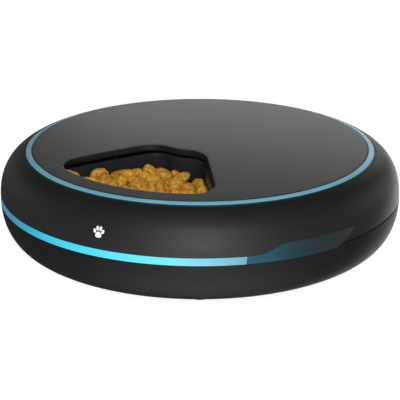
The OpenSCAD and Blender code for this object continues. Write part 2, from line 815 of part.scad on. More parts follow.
module motor_screws() {
    color("silver") for (p = ear_positions)
        translate([p[0], p[1], can_z + 0.85 + 2]) mirror([0, 0, 1]) pan_screw(2.9, 2, screw_r, 7.5);
}

// ---------------------------------------------------------------- battery

module battery_cells() {
    color("#3f7d4e") for (i = [0:cell_count - 1]) {
        side = i % 2 == 0 ? 1 : -1;
        translate([(i - (cell_count - 1) / 2) * cell_pitch, (bay_y0 + bay_y1) / 2, cell_z])
            rotate([-90 * side, 0, 0])
                translate([0, 0, (bay_y1 - bay_y0) / 2 - plate_t - 0.15 - cell_len - 1]) {
                    cylinder(r = cell_r, h = cell_len);
                    translate([0, 0, cell_len - 0.5]) cylinder(r = 2.7, h = 1.5);
                }
    }
}

// Sweeps rings of points into one solid: the rings' sides joined by triangles, the ends closed
module sweep(rings) {
    n = len(rings);
    sides = len(rings[0]);
    polyhedron(
        points = [for (ring = rings) each ring],
        faces = concat(
            [[for (k = [0:sides - 1]) k], [for (k = [sides - 1:-1:0]) (n - 1) * sides + k]],
            [for (i = [0:n - 2], k = [0:sides - 1], upper = [0, 1])
                let (a = i * sides + k, b = i * sides + (k + 1) % sides)
                upper == 0 ? [a, a + sides, b + sides] : [a, b + sides, b]]
        )
    );
}

// A coil of round wire along +Z
module coil(r, wire_r, len, turns) {
    steps = turns * 10;
    slope = atan2((len - 2 * wire_r) / turns, 2 * PI * r);
    sweep([for (i = [0:steps]) let (a = 360 * i / 10, z = wire_r + (len - 2 * wire_r) * i / steps)
        [for (b = [0:72:288]) let (u = wire_r * cos(b), v = wire_r * sin(b))
            [(r + u) * cos(a) + v * sin(slope) * sin(a), (r + u) * sin(a) - v * sin(slope) * cos(a),
                z + v * cos(slope)]]]);
}

module battery_springs() {
    color("silver") for (i = [0:cell_count - 1]) {
        side = i % 2 == 0 ? 1 : -1;
        translate([(i - (cell_count - 1) / 2) * cell_pitch, (bay_y0 + bay_y1) / 2, cell_z])
            rotate([90 * side, 0, 0])
                translate([0, 0, (bay_y1 - bay_y0) / 2 - plate_t - spring_len - 0.1])
                    coil(3.4, 0.4, spring_len, 4);
    }
}

module battery_plates() {
    color("#c9ccd0") for (side = [-1, 1]) {
        y = side > 0 ? bay_y1 - plate_t - 0.05 : bay_y0 + 0.05;
        groups = side > 0 ? [[0, 1], [2, 3]] : [[0, 0], [1, 2], [3, 3]];
        for (g = groups)
            box_at([(g[0] - (cell_count - 1) / 2) * cell_pitch - 5, y, cell_z - 5],
                [(g[1] - (cell_count - 1) / 2) * cell_pitch + 5, y + plate_t, cell_z + 5]);
    }
}

module battery_door() {
    color("#2b2d30") difference() {
        union() {
            box_at([-bay_x + door_gap, bay_y0, floor_z + 0.1],
                [bay_x - door_gap, hinge_y - 3.1, floor_z + 0.1 + door_t]);
            box_at([-hinge_x, bay_y0 + 10, floor_z + 0.1], [hinge_x, hinge_y, floor_z + 0.1 + door_t]);
            translate([-hinge_x, hinge_y, hinge_z]) rotate([0, 90, 0])
                cylinder(r = hinge_r, h = 2 * hinge_x, $fn = SMALL_FN);
            translate([-hinge_x - 2.6, hinge_y, hinge_z]) rotate([0, 90, 0])
                cylinder(r = hinge_pin_r, h = 2 * hinge_x + 5.2, $fn = SMALL_FN);
        }
        // Finger dish and grip grooves beside the latch edge
        translate([0, bay_y0 + 7, floor_z - 6.8]) sphere(r = 8);
        for (y = [bay_y0 + 16:3:bay_y0 + 25]) box_at([-10, y, floor_z - 1], [10, y + 1, floor_z + 0.7]);
    }
}

// ---------------------------------------------------------------- electronics

module main_board() {
    color("#1f5f3a") difference() {
        box_at([board_x0, board_y0, board_z], [board_x1, board_y1, board_z + board_t]);
        for (p = board_holes) rod(p, through_r, board_z - 1, board_z + 3, SMALL_FN);
    }
}

module board_screws() {
    color("silver") for (p = board_holes)
        translate([p[0], p[1], board_z + board_t + 2.05]) mirror([0, 0, 1]) pan_screw(2.6, 2, screw_r, 6);
}

module board_parts() {
    top = board_z + board_t + 0.02;
    color("#26282b") {
        // Controller, motor driver, regulator and clock crystal
        box_at([74, -18, top], [86, -6, top + 1.4]);
        box_at([60, 4, top], [66, 14, top + 1.6]);
        box_at([94, 2, top], [100, 9, top + 2.4]);
        box_at([90, -16, top], [92.6, -6, top + 2]);
        // Capacitors
        for (p = [[100, -12], [100, -22], [66, -30]]) translate([p[0], p[1], top]) cylinder(r = 4, h = 9);
        // Plugs for the battery, inlet, motor, display and light strip
        for (p = [[76, 14], [90, 14], [52, -8], [84, -42], [96, -34]])
            box_at([p[0], p[1], top], [p[0] + 9, p[1] + 5, top + 6]);
        // Small chip parts in two rows
        for (i = [0:5], y = [-26, 0]) box_at([70 + 3.4 * i, y, top], [72 + 3.4 * i, y + 1.2, top + 0.8]);
    }
}

module index_sensor() {
    color("#202226") at_az(45 + pocket_pitch) difference() {
        box_at([disc_r - 5, -5, disc_z - 1.7], [disc_r + 6, 5, deck_z - 0.05]);
        box_at([disc_r - 6, -6, disc_z - 0.5], [disc_r + 1.5, 6, disc_z + disc_t + 0.5]);
    }
}

module sounder() {
    color("#17181a") translate([sounder_pos[0], sounder_pos[1], floor_top + 0.1]) {
        tube(sounder_r, 2, 6);
        translate([0, 0, 3]) cylinder(r = sounder_r - 0.5, h = 2);
    }
}

module led_strip() {
    color("#e8e6dc") {
        ring_segment(band_back_az + 2, 360 + band_front_az - 1)
            polygon([[tongue_r1 + 0.05, band_z0 + 0.4], [tongue_r1 + 0.4, band_z0 + 0.4],
                [tongue_r1 + 0.4, band_z1 - 0.4], [tongue_r1 + 0.05, band_z1 - 0.4]]);
        for (a = [band_back_az + 5:led_step:360 + band_front_az - 4]) at_az(a)
            box_at([tongue_r1 + 0.2, -1.7, equator_z + 0.3], [tongue_r1 + 1.4, 1.7, equator_z + 3.2]);
    }
}

module display_board() {
    color("#1f5f3a") at_az(window_az) difference() {
        box_at([window_plane, -32, equator_z - 3.5], [window_plane + board_t, 32, equator_z + 13]);
        for (s = [-1, 1]) translate([window_plane - 1, s * 28, equator_z + 9])
            rotate([0, 90, 0]) cylinder(r = 1.2, h = 4, $fn = SMALL_FN);
    }
}

module display_module() {
    color("#101417") at_az(window_az)
        box_at([window_plane + board_t + 0.02, -18, equator_z + 1],
            [window_plane + board_t + 3, 20, equator_z + 10]);
}

// A wire along a path: a ten-sided section, square to the path at its ends and mitred at its bends
module wire(path, r) {
    last = len(path) - 1;
    sweep([for (i = [0:last])
        let (
            d = path[min(i + 1, last)] - path[max(i - 1, 0)],
            u = cross([0, 0, 1], d) / norm(cross([0, 0, 1], d)),
            v = cross(d, u) / norm(d)
        )
        [for (b = [0:36:324]) path[i] + r * (cos(b) * u + sin(b) * v)]]);
}

module wire_looms() {
    low = floor_top + 1.6;
    plug = board_z + board_t + 3;
    color("#a33a32") {
        wire([[35, 60, low + 6], [44, 60, low], [80, 40, low], [80.5, 30, plug],
            [80.5, 19.2, plug]], 1.2);
        wire([[0, 135.5, jack_z], [30, 128, low + 4], [94.5, 60, low], [94.5, 34, plug],
            [94.5, 19.2, plug]], 1.2);
        wire([[-58, -66, low + 4], [-20, -62, low], [30, -58, low], [88.5, -56, low], [88.5, -46, plug],
            [88.5, -42.2, plug]], 1.2);
    }
}

module dc_jack() {
    color("#111214") translate([0, jack_face - 0.1, jack_z]) difference() {
        union() {
            rotate([90, 0, 0]) cylinder(r = jack_r, h = 13);
            box_at([-4.5, -14, -5], [4.5, -3, 5]);
        }
        rotate([90, 0, 0]) translate([0, 0, -1]) cylinder(r = 2.8, h = 10.5);
    }
}

module jack_pin() {
    color("silver") translate([0, jack_face - 1.6, jack_z]) rotate([90, 0, 0]) cylinder(r = 1, h = 7.95);
}

module switch_body() {
    color("#202226") translate([switch_pos[0], switch_pos[1], floor_top + 0.05]) difference() {
        box_at([-9, -5, 0], [9, 5, 7]);
        box_at([-6, -2.8, -1], [6, 2.8, 3.2]);
    }
}

module switch_slider() {
    color("#d8d8d4") translate([switch_pos[0] - switch_travel / 2, switch_pos[1], floor_z]) {
        box_at([-1.9, -1.9, 0.3], [1.9, 1.9, wall + 0.5]);
        box_at([-3.2, -2.5, wall + 0.3], [3.2, 2.5, wall + 2.8]);
    }
}

// ---------------------------------------------------------------- nodes

base_shell();
upper_shell();
well_deck();
side_light_band();
display_window();
trim_ring();
rubber_feet();
casing_screws();
deck_screws();
spindle();
idler_axle();
hub_bush();
gear_motor();
motor_screws();
main_board();
board_parts();
board_screws();
index_sensor();
sounder();
led_strip();
display_board();
display_module();
wire_looms();
battery_cells();
battery_springs();
battery_plates();
dc_jack();
jack_pin();
switch_body();
drive_hub();
output_gear();
index_disc();
hub_screw();
tray_bowl();
divider_insert();
idler_gear();
motor_pinion();
motor_shaft();
lid();
battery_door();
switch_slider();
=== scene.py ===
"""Looks of the automatic pet feeder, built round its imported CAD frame. Lengths are in metres."""

import json
import math

import bpy
import numpy as np
from mathutils import Matrix, Vector
from mathutils import noise as field

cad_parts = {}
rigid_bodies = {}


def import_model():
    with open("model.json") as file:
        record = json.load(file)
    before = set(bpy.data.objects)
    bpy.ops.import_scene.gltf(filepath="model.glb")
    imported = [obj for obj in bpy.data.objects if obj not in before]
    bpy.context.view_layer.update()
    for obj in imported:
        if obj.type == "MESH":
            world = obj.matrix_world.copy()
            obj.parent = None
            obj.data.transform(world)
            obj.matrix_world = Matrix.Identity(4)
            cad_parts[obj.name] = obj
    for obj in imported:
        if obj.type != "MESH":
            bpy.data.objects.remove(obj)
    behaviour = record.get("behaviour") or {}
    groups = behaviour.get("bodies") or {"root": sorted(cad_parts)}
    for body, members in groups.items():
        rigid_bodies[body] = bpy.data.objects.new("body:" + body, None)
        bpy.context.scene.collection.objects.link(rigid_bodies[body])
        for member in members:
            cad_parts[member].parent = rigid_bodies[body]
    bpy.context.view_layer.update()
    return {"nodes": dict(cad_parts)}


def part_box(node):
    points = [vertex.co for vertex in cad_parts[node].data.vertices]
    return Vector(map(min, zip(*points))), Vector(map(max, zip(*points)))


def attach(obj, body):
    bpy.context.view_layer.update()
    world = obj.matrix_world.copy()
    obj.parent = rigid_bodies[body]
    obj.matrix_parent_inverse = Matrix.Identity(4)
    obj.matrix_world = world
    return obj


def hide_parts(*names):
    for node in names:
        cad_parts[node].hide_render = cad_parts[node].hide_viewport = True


for stray in list(bpy.data.objects):
    bpy.data.objects.remove(stray)
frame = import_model()
scene = bpy.context.scene
MM = 0.001

# ------------------------------------------------------------------ sizes shared with the CAD

BODY_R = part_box("base_shell")[1].x
EQUATOR_Z = 41 * MM
UPPER_MID, UPPER_ROUND, UPPER_RISE, UPPER_POWER = 120.8 * MM, 39.2 * MM, 38.6 * MM, 2.475
LID_R = 133.8 * MM
LID_WALL = 2.4 * MM
LIP_DEPTH, LIP_WALL = 5 * MM, 2 * MM
DOME_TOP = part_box("lid")[1].z
DOME_RISE = 6 * MM
RING_IN, RING_OUT = 134.3 * MM, 139.9 * MM
DOME_R = (RING_IN**2 + DOME_RISE**2) / (2 * DOME_RISE)
SEAT_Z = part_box("trim_ring")[0].z
OPENING_AZ = math.radians(-119.8)
OPENING_HALF = math.radians(35.8)
OPENING_HUB_R, OPENING_R = 35 * MM, 120.7 * MM
OPENING_ROUND_IN, OPENING_ROUND_OUT = 22 * MM, 16 * MM
POCKETS = 5
POCKET_R, POCKET_HUB_R, DIVIDER = 126.5 * MM, 33.4 * MM, 3 * MM
TRAY_FLOOR_Z = 39.1 * MM
TRAY_RIM_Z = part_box("tray_bowl")[1].z


def dome_z(r, drop=0.0):
    """Height of the lid's top surface at radius r, less a drop."""
    return DOME_TOP - DOME_R + np.sqrt(DOME_R**2 - np.square(r)) - drop


def upper_z(r):
    """Height of the upper casing's outer curve at radius r."""
    x = np.clip((np.asarray(r) - UPPER_MID) / UPPER_ROUND, 0, 1)
    return EQUATOR_Z + UPPER_RISE * (1 - x**UPPER_POWER) ** (1 / UPPER_POWER)


def upper_r(z):
    """Radius of the upper casing's outer curve at height z."""
    y = np.clip((np.asarray(z) - EQUATOR_Z) / UPPER_RISE, 0, 1)
    return UPPER_MID + UPPER_ROUND * (1 - y**UPPER_POWER) ** (1 / UPPER_POWER)


# ------------------------------------------------------------------ materials


def node_of(tree, kind, **sockets):
    """Adds a node and sets its inputs, given by name, from a value or from another node's output."""
    made = tree.nodes.new(kind)
    for name, value in sockets.items():
        socket = made.inputs[name.replace("_", " ")]
        if isinstance(value, bpy.types.NodeSocket):
            tree.links.new(value, socket)
        else:
            socket.default_value = value
    return made


def noise(tree, place, scale, detail=3.0, rough=0.55):
    made = node_of(
        tree, "ShaderNodeTexNoise", Vector=place, Scale=scale, Detail=detail, Roughness=rough
    )
    return made.outputs["Fac"]


def ramp(tree, factor, stops):
    made = node_of(tree, "ShaderNodeValToRGB", Fac=factor)
    while len(made.color_ramp.elements) < len(stops):
        made.color_ramp.elements.new(0.5)
    for element, (place, colour) in zip(made.color_ramp.elements, stops):
        element.position = place
        element.color = (*colour, 1)
    return made.outputs["Color"]


def remap(tree, value, start, end, low=0.0, high=1.0):
    """Maps a value from start..end to low..high and holds it at the ends."""
    made = node_of(
        tree, "ShaderNodeMapRange", Value=value, From_Min=start, From_Max=end, To_Min=low, To_Max=high
    )
    return made.outputs["Result"]


def spread(tree, clouds, low, high):
    """Maps the middle of a noise, where most of its values are, to low..high."""
    return remap(tree, clouds, 0.3, 0.7, low, high)


def scaled(colour, by):
    return tuple(min(1.0, c * by) for c in colour)


def surface(
    name,
    colour,
    rough,
    vary=0.08,
    rough_vary=0.06,
    cloud=60,
    grain=2400,
    grain_depth=0.012 * MM,
    metallic=0.0,
    specular=0.5,
    coat=0.0,
    stops=None,
):
    """A moulded or metal surface: cloudy colour and roughness, and a fine grain in the surface."""
    made = bpy.data.materials.new(name)
    made.use_nodes = True
    tree = made.node_tree
    shader = tree.nodes["Principled BSDF"]
    place = tree.nodes.new("ShaderNodeTexCoord").outputs["Object"]
    stops = stops or [(0.3, scaled(colour, 1 - vary)), (0.7, scaled(colour, 1 + vary))]
    tree.links.new(ramp(tree, noise(tree, place, cloud, 4.0), stops), shader.inputs["Base Color"])
    patches = noise(tree, place, cloud * 3.1, 5.0)
    tree.links.new(
        spread(tree, patches, rough - rough_vary, rough + rough_vary), shader.inputs["Roughness"]
    )
    fine = noise(tree, place, grain, 2.0)
    bump = node_of(tree, "ShaderNodeBump", Strength=1.0, Distance=grain_depth, Height=fine)
    tree.links.new(bump.outputs["Normal"], shader.inputs["Normal"])
    shader.inputs["Metallic"].default_value = metallic
    shader.inputs["Specular IOR Level"].default_value = specular
    shader.inputs["Coat Weight"].default_value = coat
    return made


def glowing(made, factor_of, stops, strength):
    """Adds light of a colour that changes along the piece."""
    tree = made.node_tree
    shader = tree.nodes["Principled BSDF"]
    place = tree.nodes.new("ShaderNodeTexCoord").outputs["Object"]
    tree.links.new(ramp(tree, factor_of(tree, place), stops), shader.inputs["Emission Color"])
    shader.inputs["Emission Strength"].default_value = strength
    return made


def along(direction, low, high):
    """A factor from 0 to 1 along a direction, from the place low to the place high."""

    def factor(tree, place):
        dot = tree.nodes.new("ShaderNodeVectorMath")
        dot.operation = "DOT_PRODUCT"
        tree.links.new(place, dot.inputs[0])
        dot.inputs[1].default_value = direction
        return remap(tree, dot.outputs["Value"], low, high)

    return factor


def linear(r, g, b):
    """Linear colour from display values out of 255, each above 10."""
    return tuple(((c / 255 + 0.055) / 1.055) ** 2.4 for c in (r, g, b))


WINDOW_AZ = math.radians(-61.5)
WINDOW_ALONG = (-math.sin(WINDOW_AZ), math.cos(WINDOW_AZ), 0)

casing_plastic = surface(
    "casing_plastic",
    (0.0105, 0.0107, 0.0112),
    0.48,
    rough_vary=0.015,
    cloud=30,
    specular=0.26,
)
# painted shade: the casing's black plastic made darker on the lower casing, standing in for the shade
# there
base_plastic_painted_shade = surface(
    "base_plastic_painted_shade",
    (0.0066, 0.0068, 0.0072),
    0.55,
    rough_vary=0.015,
    cloud=30,
    specular=0.14,
)
lid_plastic = surface(
    "lid_plastic",
    (0.030, 0.0305, 0.031),
    0.47,
    vary=0.015,
    rough_vary=0.01,
    cloud=18,
    specular=0.5,
)
ring_plastic = surface(
    "ring_plastic",
    (0.205, 0.54, 0.68),
    0.36,
    vary=0.05,
    cloud=40,
    specular=0.45,
)
# painted shade: the ring's outer edge is dark teal, standing in for the shade at its outer bevel and
# gap
ring_edge_painted_shade = surface("ring_edge_painted_shade", (0.009, 0.032, 0.037), 0.45, cloud=40, specular=0.2)
# painted shade: the lid's lip is the lid's plastic made darker, standing in for the shade inside the
# opening
lip_painted_shade = surface(
    "lip_painted_shade",
    (0.0075, 0.0078, 0.0080),
    0.5,
    rough_vary=0.015,
    cloud=30,
    specular=0.2,
)
# the glow is partly the band's LED light and partly a painted highlight: along X it runs from dull blue
# at the left end to bright cyan near the front middle and paler blue beyond
band_plastic_painted_highlight = glowing(
    surface("band_plastic_painted_highlight", (0.010, 0.045, 0.055), 0.28, vary=0.05, cloud=40, specular=0.3),
    along((1, 0, 0), -BODY_R, 0.034),
    [
        (0.0, linear(70, 118, 146)),
        (0.09, linear(56, 124, 156)),
        (0.19, linear(42, 172, 204)),
        (0.33, linear(66, 212, 240)),
        (0.58, linear(96, 234, 252)),
        (0.72, linear(116, 232, 248)),
        (0.86, linear(126, 202, 228)),
        (1.0, linear(112, 162, 178)),
    ],
    0.95,
)
# painted light: the display window glows teal next to the band and fades to grey at its tip
window_plastic_painted_glow = glowing(
    surface(
        "window_plastic_painted_glow",
        (0.008, 0.012, 0.013),
        0.42,
        vary=0.1,
        cloud=30,
        specular=0.1,
        grain_depth=0.003 * MM,
    ),
    along(WINDOW_ALONG, -0.046, 0.046),
    [
        (0.0, linear(34, 116, 140)),
        (0.18, linear(30, 100, 120)),
        (0.38, linear(32, 68, 76)),
        (0.6, linear(38, 50, 52)),
        (0.85, linear(46, 48, 48)),
        (1.0, linear(66, 67, 66)),
    ],
    0.55,
)
tray_plastic = surface("tray_plastic", (0.016, 0.021, 0.028), 0.38, specular=0.45)
rubber = surface(
    "rubber",
    (0.012, 0.012, 0.012),
    0.82,
    vary=0.2,
    grain=900,
    grain_depth=0.05 * MM,
    specular=0.25,
)
steel = surface("steel", (0.60, 0.60, 0.61), 0.28, metallic=1.0, grain=1500, grain_depth=0.006 * MM)
nickel = surface(
    "nickel",
    (0.68, 0.67, 0.64),
    0.22,
    metallic=1.0,
    grain=1500,
    grain_depth=0.006 * MM,
)
can_metal = surface("can_metal", (0.62, 0.63, 0.64), 0.35, metallic=1.0, grain=700)
brass = surface("brass", (0.66, 0.48, 0.22), 0.3, metallic=1.0, grain=1500)
acetal = surface("acetal", (0.62, 0.58, 0.47), 0.42, cloud=90)
board_green = surface("board_green", (0.012, 0.09, 0.045), 0.3, vary=0.25, cloud=300, coat=0.3)
part_black = surface("part_black", (0.02, 0.02, 0.022), 0.5, cloud=200)
flex_white = surface("flex_white", (0.62, 0.6, 0.54), 0.5)
wire_red = surface("wire_red", (0.32, 0.02, 0.018), 0.4)
cell_sleeve = surface("cell_sleeve", (0.03, 0.12, 0.06), 0.3, vary=0.15, coat=0.4)
switch_white = surface("switch_white", (0.55, 0.55, 0.52), 0.45)
ink_white = surface("ink_white", (0.72, 0.73, 0.73), 0.55, vary=0.03, grain_depth=0.004 * MM)

NODE_MATERIALS = {
    "base_shell": base_plastic_painted_shade,
    "upper_shell": casing_plastic,
    "well_deck": casing_plastic,
    "side_light_band": band_plastic_painted_highlight,
    "display_window": window_plastic_painted_glow,
    "rubber_feet": rubber,
    "casing_screws": steel,
    "deck_screws": steel,
    "spindle": steel,
    "idler_axle": steel,
    "hub_bush": brass,
    "gear_motor": can_metal,
    "motor_screws": steel,
    "main_board": board_green,
    "board_parts": part_black,
    "board_screws": steel,
    "index_sensor": part_black,
    "sounder": part_black,
    "led_strip": flex_white,
    "display_board": board_green,
    "display_module": part_black,
    "wire_looms": wire_red,
    "battery_cells": cell_sleeve,
    "battery_springs": nickel,
    "battery_plates": nickel,
    "dc_jack": part_black,
    "jack_pin": nickel,
    "switch_body": part_black,
    "drive_hub": acetal,
    "output_gear": acetal,
    "index_disc": part_black,
    "hub_screw": steel,
    "tray_bowl": tray_plastic,
    "divider_insert": tray_plastic,
    "idler_gear": acetal,
    "motor_pinion": brass,
    "motor_shaft": steel,
    "battery_door": casing_plastic,
    "switch_slider": switch_white,
}
for node, material in NODE_MATERIALS.items():
    shown = frame["nodes"][node]
    shown.data.materials.clear()
    shown.data.materials.append(material)
    weld = shown.modifiers.new("weld", "WELD")
    weld.merge_threshold = 0.002 * MM
    split = shown.modifiers.new("split", "EDGE_SPLIT")
    split.split_angle = math.radians(28)
    shade = shown.modifiers.new("shade", "WEIGHTED_NORMAL")
    shade.mode = "FACE_AREA"
    shade.weight = 50


# ------------------------------------------------------------------ mesh making

CORNER_POINTS = 5

def piece(name, points, faces, material, body, sharp=40):
    """A smooth-shaded mesh that rides on a CAD body."""
    mesh = bpy.data.meshes.new(name)
    mesh.from_pydata([tuple(p) for p in points], [], faces)
    mesh.polygons.foreach_set("use_smooth", [True] * len(mesh.polygons))
    mesh.set_sharp_from_angle(angle=math.radians(sharp))
    mesh.materials.append(material)
    made = bpy.data.objects.new(name, mesh)
    scene.collection.objects.link(made)
    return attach(made, body)


def second_material(made, material, is_second):
    """Gives a second material to the faces that is_second(face number, face centre) picks."""
    made.data.materials.append(material)
    for face in made.data.polygons:
        face.material_index = int(is_second(face.index, face.center))


def loop_faces(columns, rows):
    """Quads of a grid of columns that each close on themselves."""
    faces = []
    for i in range(columns):
        a, b = i * rows, (i + 1) % columns * rows
        for j in range(rows):
            k = (j + 1) % rows
            faces.append((a + j, b + j, b + k, a + k))
    return faces


def lathe(profile, columns):
    """Points of a closed profile of (radius, height) turned round the axis, and its quads."""
    profile = np.array(profile)
    turns = np.linspace(0, 2 * math.pi, columns, endpoint=False)
    points = np.stack(
        [
            np.outer(np.cos(turns), profile[:, 0]),
            np.outer(np.sin(turns), profile[:, 0]),
            np.tile(profile[:, 1], (columns, 1)),
        ],
        -1,
    )
    return points.reshape(-1, 3), loop_faces(columns, len(profile))


def rounded(points, radii):
    """A closed outline whose corners are rounded, each by its own radius."""
    points = [np.array(p, float) for p in points]
    out = []
    for i, p in enumerate(points):
        a, b = points[i - 1] - p, points[(i + 1) % len(points)] - p
        cut = min(radii[i], 0.45 * np.linalg.norm(a), 0.45 * np.linalg.norm(b))
        if cut <= 0:
            out.append(p)
            continue
        start, end = p + a / np.linalg.norm(a) * cut, p + b / np.linalg.norm(b) * cut
        for t in np.linspace(0, 1, CORNER_POINTS):
            out.append((1 - t) ** 2 * start + 2 * t * (1 - t) * p + t * t * end)
    return np.array(out)


# ------------------------------------------------------------------ trim ring

RING_PAINTED_SHADE_R = 138.5 * MM
RING_FOOT_ROUND, RING_TOP_ROUND = 0.3 * MM, 0.7 * MM
RING_TOP_POINTS = 9


def build_ring():
    """The trim ring, whose top follows the upper casing's curve and whose outer edge is painted dark
    teal as shade.
    """
    top = [(r, upper_z(r)) for r in np.linspace(RING_IN, RING_OUT, RING_TOP_POINTS)]
    plain = [0] * (RING_TOP_POINTS - 2)
    profile = rounded(
        [(RING_IN, SEAT_Z), *top, (RING_OUT, SEAT_Z)],
        [RING_FOOT_ROUND, RING_TOP_ROUND, *plain, RING_TOP_ROUND, RING_FOOT_ROUND],
    )
    ring = piece("trim_ring_lathed", *lathe(profile[::-1], 512), ring_plastic, "casing")
    # faces beyond this radius get the painted shade
    second_material(ring, ring_edge_painted_shade, lambda _, centre: centre.xy.length > RING_PAINTED_SHADE_R)
    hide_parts("trim_ring")


build_ring()

# ------------------------------------------------------------------ lid


def arc(centre, radius, a0, a1, steps):
    turns = np.linspace(a0, a1, steps)
    return np.stack([centre[0] + radius * np.cos(turns), centre[1] + radius * np.sin(turns)], -1)


OUTLINE_STEP = 2.5 * MM
TURN_LENGTH = 14 * MM
NORMAL_REACH = 0.3 * MM


def wedge_outline(inner, outer, half, round_in, round_out):
    """Outline of a rounded wedge that opens along +X, and its outward normal at each point."""
    turn_in = half - math.asin(round_in / (inner + round_in))
    centre_in = ((inner + round_in) * math.cos(turn_in), (inner + round_in) * math.sin(turn_in))
    s = math.sqrt((outer - round_out) ** 2 - round_out**2)
    centre_out = (
        s * math.cos(half) + round_out * math.sin(half),
        s * math.sin(half) - round_out * math.cos(half),
    )
    turn_out = math.atan2(centre_out[1], centre_out[0])
    upper = np.concatenate(
        [
            arc((0, 0), inner, 0, turn_in, 60),
            arc(centre_in, round_in, math.pi + turn_in, math.pi / 2 + half, 60)[1:],
            arc(centre_out, round_out, math.pi / 2 + half, turn_out, 60),
            arc((0, 0), outer, turn_out, 0, 200)[1:],
        ]
    )
    lower = upper[-2::-1] * [1, -1]
    closed = np.concatenate([upper, lower, upper[:1]])[::-1]
    steps = np.linalg.norm(np.diff(closed, axis=0), axis=1)
    keep = np.concatenate([[True], steps > 1e-9])
    closed, steps = closed[keep], steps[steps > 1e-9]
    place = np.concatenate([[0], np.cumsum(steps)])
    # more points where the outline turns, by adding its turning to its length
    heading = np.unwrap(np.arctan2(*(np.diff(closed, axis=0).T[::-1])))
    turning = np.concatenate([[0], np.cumsum(np.abs(np.diff(heading))), [0]])
    turning[-1] = turning[-2]
    measure = place + turning * TURN_LENGTH
    count = int(measure[-1] / OUTLINE_STEP)
    at = np.interp(np.linspace(0, measure[-1], count, endpoint=False), measure, place)

    def points_at(lengths):
        return np.stack([np.interp(lengths, place, closed[:, i]) for i in (0, 1)], -1)

    ahead = points_at((at + NORMAL_REACH) % place[-1])
    behind = points_at((at - NORMAL_REACH) % place[-1])
    tangent = ahead - behind
    tangent /= np.linalg.norm(tangent, axis=1)[:, None]
    return points_at(at), np.stack([tangent[:, 1], -tangent[:, 0]], -1)


LIP_ROUND, LIP_FOOT_ROUND = 1.0 * MM, 0.5 * MM
RIM_ROUND, RIM_FOOT_ROUND = 0.8 * MM, 0.4 * MM
SKIRT_IN, SKIRT_OUT, SKIRT_TOP = 128.4 * MM, 130.2 * MM, 77 * MM
# rows of faces that belong to the lip, painted dark as shade: its outer side and round its edge, and
# its inner side
LIP_ROWS_OUT, LIP_ROWS_IN = 8, 4


def build_lid():
    """The domed lid as one closed skin: up the lip, over the top to the rim, and back underneath."""
    outline, normal = wedge_outline(
        OPENING_HUB_R, OPENING_R, OPENING_HALF, OPENING_ROUND_IN, OPENING_ROUND_OUT
    )
    centre = np.array([(OPENING_HUB_R + OPENING_R) / 2, 0.0])
    ray = outline - centre
    ray /= np.linalg.norm(ray, axis=1)[:, None]
    rows = []

    def add(flat, z):
        rows.append(np.column_stack([flat, np.broadcast_to(z, len(flat))]))

    def at_offset(offset, drop):
        flat = outline + normal * offset
        add(flat, dome_z(np.linalg.norm(flat, axis=1), drop))

    def rim(radius):
        along_ray = (ray * centre).sum(1)
        reach = -along_ray + np.sqrt(along_ray**2 - (centre**2).sum() + radius**2)
        return centre + ray * reach[:, None]

    edge, foot = LIP_ROUND, LIP_FOOT_ROUND
    at_offset(foot, LIP_DEPTH)
    at_offset(foot * 0.3, LIP_DEPTH - foot * 0.3)
    at_offset(0, LIP_DEPTH - foot)
    at_offset(0, LIP_DEPTH * 0.55)
    for turn in np.linspace(0, math.pi / 2, 7):
        at_offset(edge * (1 - math.cos(turn)), edge * (1 - math.sin(turn)))
    start, top_r = outline + normal * edge, LID_R - RIM_ROUND
    end = rim(top_r)
    for u in np.linspace(0, 1, 18)[1:]:
        u = 0.5 * u + 0.5 * u * u * (3 - 2 * u)
        flat = start * (1 - u) + end * u
        add(flat, dome_z(np.linalg.norm(flat, axis=1)))
    for turn in np.linspace(0, math.pi / 2, 6)[1:]:
        add(rim(top_r + RIM_ROUND * math.sin(turn)), dome_z(top_r) - RIM_ROUND * (1 - math.cos(turn)))
    low = dome_z(LID_R, LID_WALL)
    add(rim(LID_R), low + RIM_FOOT_ROUND)
    add(rim(LID_R - 0.3 * RIM_FOOT_ROUND), low + 0.3 * RIM_FOOT_ROUND)
    add(rim(LID_R - RIM_FOOT_ROUND), low)
    start, end = rim(LID_R - 2 * RIM_FOOT_ROUND), outline + normal * LIP_WALL
    for u in np.linspace(0, 1, 14):
        flat = start * (1 - u) + end * u
        add(flat, dome_z(np.linalg.norm(flat, axis=1), LID_WALL))
    at_offset(LIP_WALL, LIP_DEPTH - foot)
    at_offset(LIP_WALL - foot * 0.3, LIP_DEPTH - foot * 0.3)
    at_offset(LIP_WALL - foot, LIP_DEPTH)
    points = np.stack(rows, 1)
    c, s = math.cos(OPENING_AZ), math.sin(OPENING_AZ)
    x, y, z = np.moveaxis(points, -1, 0)
    turned = np.stack([x * c - y * s, x * s + y * c, z], -1)
    faces = [f[::-1] for f in loop_faces(turned.shape[0], turned.shape[1])]
    lid = piece("lid_dome", turned.reshape(-1, 3), faces, lid_plastic, "lid", 50)
    # the lip's rows get the darker material, painted shade
    lip_rows = (*range(LIP_ROWS_OUT), *range(len(rows) - LIP_ROWS_IN, len(rows)))
    second_material(lid, lip_painted_shade, lambda number, _: number % len(rows) in lip_rows)
    skirt_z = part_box("lid")[0].z
    low_round = LIP_FOOT_ROUND
    profile = rounded(
        [(SKIRT_IN, skirt_z), (SKIRT_OUT, skirt_z), (SKIRT_OUT, SKIRT_TOP), (SKIRT_IN, SKIRT_TOP)],
        [low_round, low_round, 0, 0],
    )
    skirt = piece("lid_skirt", *lathe(profile, 360), lid_plastic, "lid")
    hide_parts("lid")


build_lid()

# ------------------------------------------------------------------ kibble


